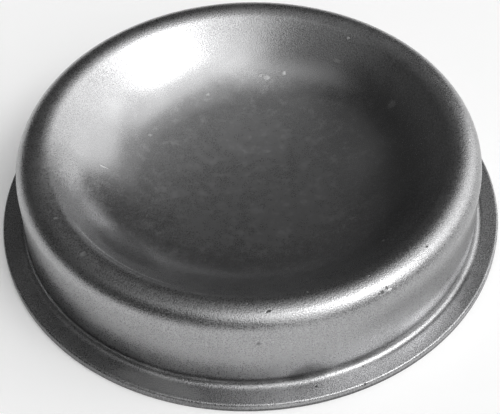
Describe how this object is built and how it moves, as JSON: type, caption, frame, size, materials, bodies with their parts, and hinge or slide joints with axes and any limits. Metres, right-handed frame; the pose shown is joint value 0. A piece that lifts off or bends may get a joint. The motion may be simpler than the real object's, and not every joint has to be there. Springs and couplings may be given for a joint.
{
  "type": "hub grease cap",
  "caption": "Pressed steel cup with a flat flange round its open mouth, a straight wall and a dished crown, that closes the end of a wheel hub and keeps its grease in.",
  "frame": {"origin": "on the cap's axis, in the plane of the flange's underside", "axes": "+Z along the axis from the open mouth to the crown; X and Y lie in the flange's plane"},
  "size_m": [0.062, 0.062, 0.012],
  "materials": {
    "bare_steel": "bare drawn sheet steel with a satin sheen, fine grain and handling marks"
  },
  "bodies": {
    "root": {"grease_cap": "bare_steel"}
  },
  "joints": []
}
